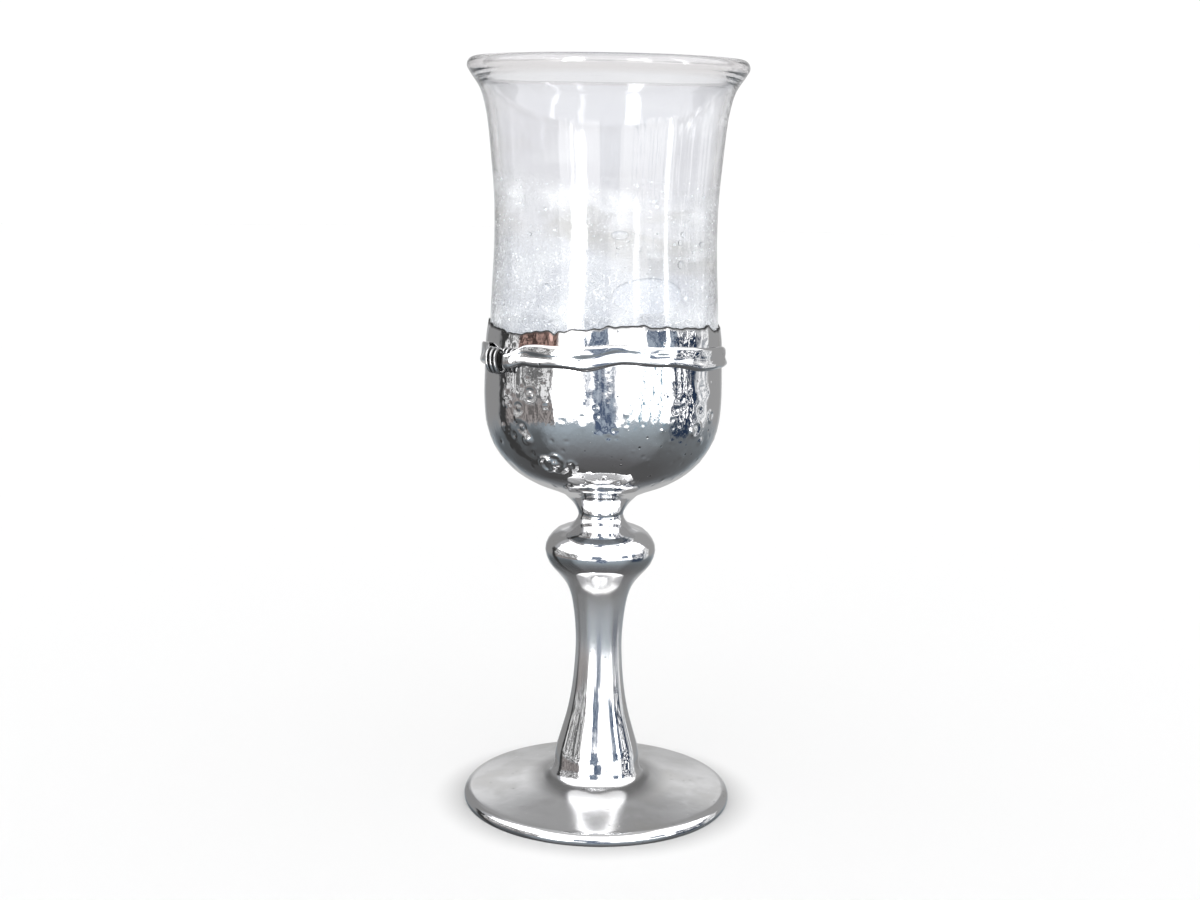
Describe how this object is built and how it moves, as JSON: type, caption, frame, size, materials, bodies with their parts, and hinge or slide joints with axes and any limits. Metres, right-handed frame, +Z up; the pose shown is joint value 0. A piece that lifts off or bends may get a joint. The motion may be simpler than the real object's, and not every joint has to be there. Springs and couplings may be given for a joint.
{
  "type": "kiddush cup",
  "caption": "Goblet with a hollow blown glass bowl set in a silver cup, a wire-bound silver ribbon round the join, a rounded knop, a flared stem and a wide round foot.",
  "frame": {"origin": "middle of the foot's underside, on the surface that the cup stands on", "axes": "+Z up along the stem to the rim, -Y the front, +X to the right; the binding wire is at the front left"},
  "size_m": [0.0696, 0.0696, 0.19],
  "materials": {
    "polished_silver": "polished silver with small pits and blisters",
    "bubbled_glass": "clear blown glass with sealed bubbles",
    "ribbon_silver": "polished, dark in its creases",
    "wire_silver": "polished strands with black between them"
  },
  "bodies": {
    "root": {"silver_base": "polished_silver", "glass_bowl": "bubbled_glass", "silver_ribbon": "ribbon_silver", "binding_wire": "wire_silver"}
  },
  "joints": []
}
